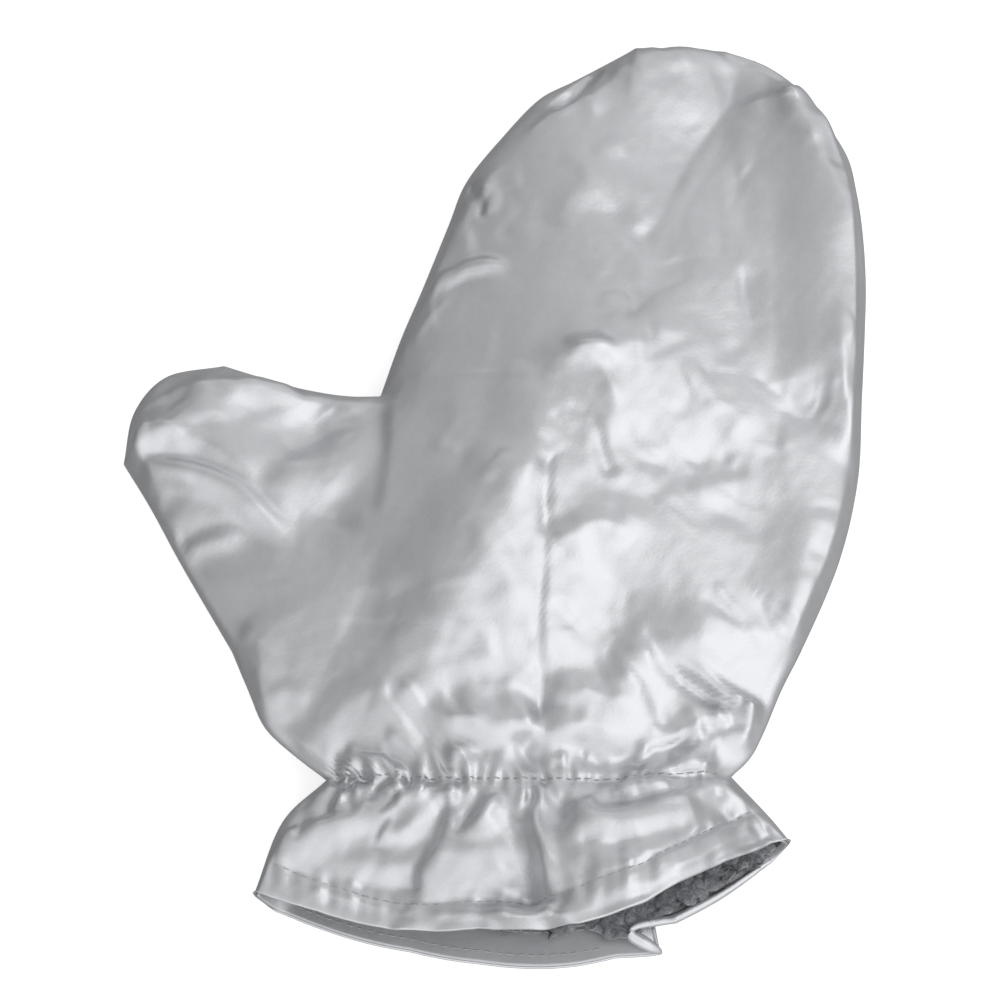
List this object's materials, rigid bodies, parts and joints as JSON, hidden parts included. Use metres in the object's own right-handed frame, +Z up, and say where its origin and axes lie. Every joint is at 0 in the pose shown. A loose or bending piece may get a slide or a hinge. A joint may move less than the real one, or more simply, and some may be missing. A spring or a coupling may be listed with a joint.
{
  "type": "ironing glove",
  "caption": "Silver heat-proof ironing mitt with one thumb, gathered at the wrist over a flared cuff, lying on its back.",
  "frame": {"origin": "Under the middle of the mitt's box, on the surface that it lies on", "axes": "+Y towards the fingertips, +X away from the thumb, +Z up from the surface"},
  "size_m": [0.2193, 0.2837, 0.0397],
  "materials": {
    "silver_cloth": "aluminium-coated woven cloth with a satin sheen",
    "facing_cloth": "reverse side of the coated cloth, duller",
    "elastic": "woven elastic tape",
    "felt": "grey needle felt"
  },
  "bodies": {
    "root": {"front_panel": "silver_cloth", "back_panel": "silver_cloth", "hem_facing": "facing_cloth", "wrist_elastic": "elastic", "front_lining": "felt", "back_lining": "felt"}
  },
  "joints": []
}
